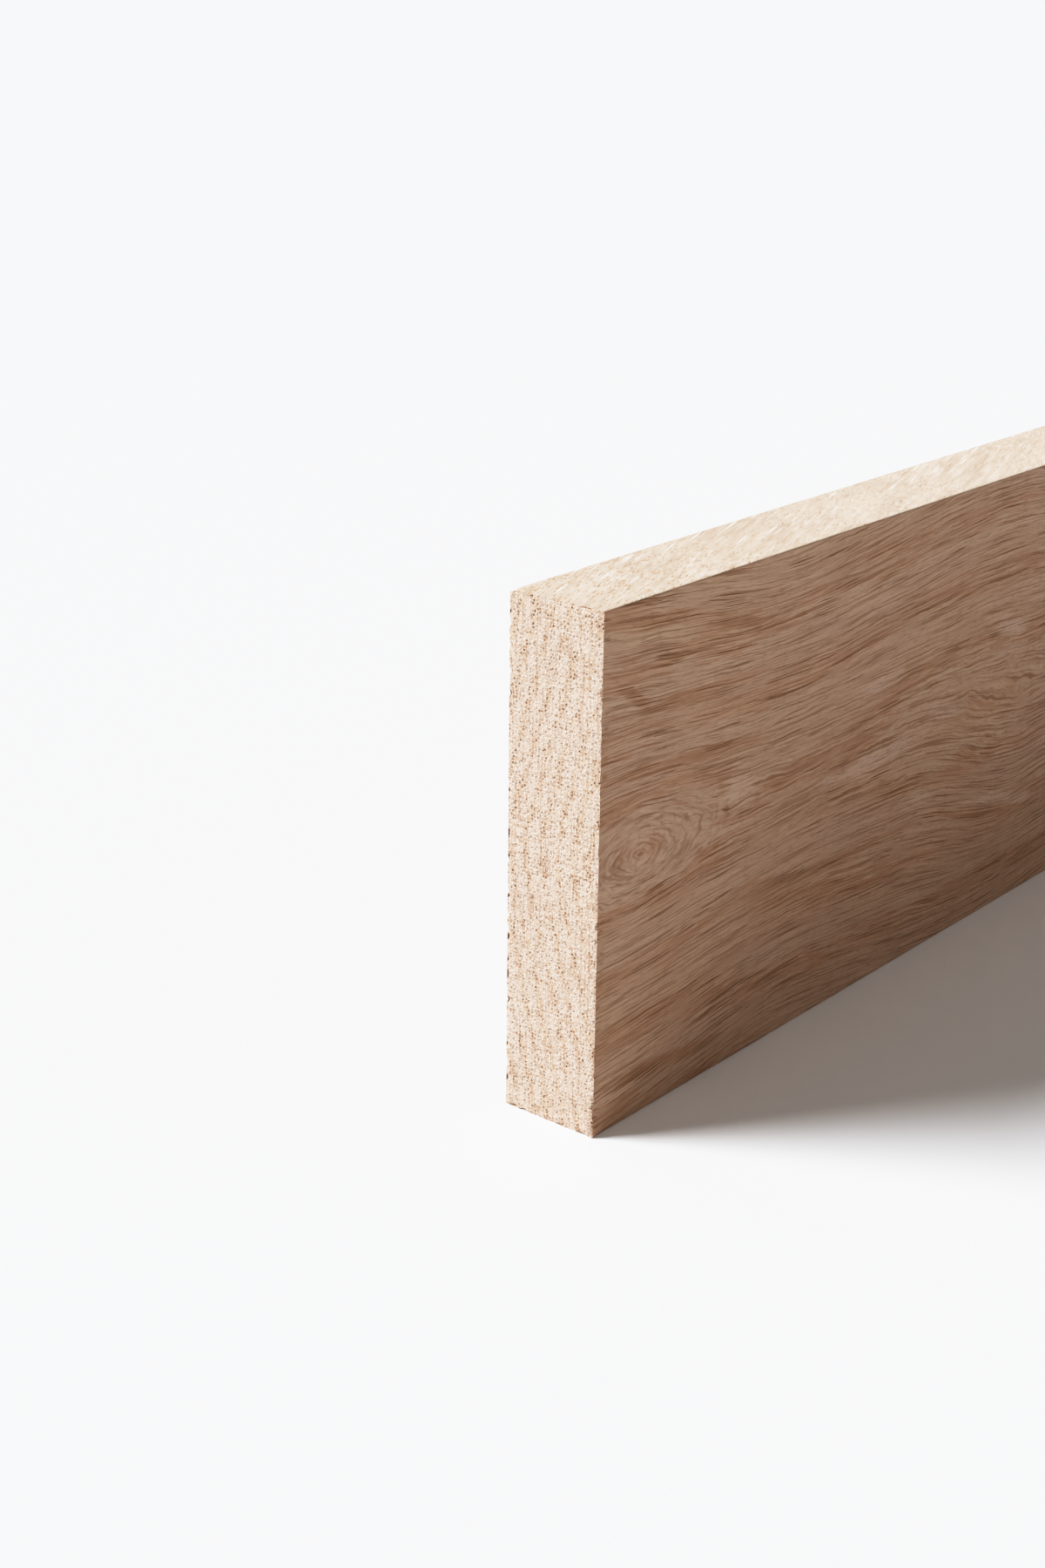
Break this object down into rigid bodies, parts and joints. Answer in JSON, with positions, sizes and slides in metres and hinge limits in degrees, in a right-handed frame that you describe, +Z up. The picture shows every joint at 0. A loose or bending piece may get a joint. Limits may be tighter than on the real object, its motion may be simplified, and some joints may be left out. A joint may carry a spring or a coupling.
{
  "type": "oak wood batten",
  "caption": "Straight planed oak batten of flat rectangular section with eased long corners and sawn square ends, standing on its narrow long edge.",
  "frame": {"origin": "middle of the long narrow edge that the batten rests on", "axes": "+X along the grain, away from the sawn end that the picture shows; +Y through the thickness, so the wide front face looks along -Y; +Z up across the wide face"},
  "size_m": [0.6, 0.02, 0.096],
  "materials": {
    "oak": "unfinished planed oak with open pores, matt"
  },
  "bodies": {
    "root": {"batten": "oak"}
  },
  "joints": []
}
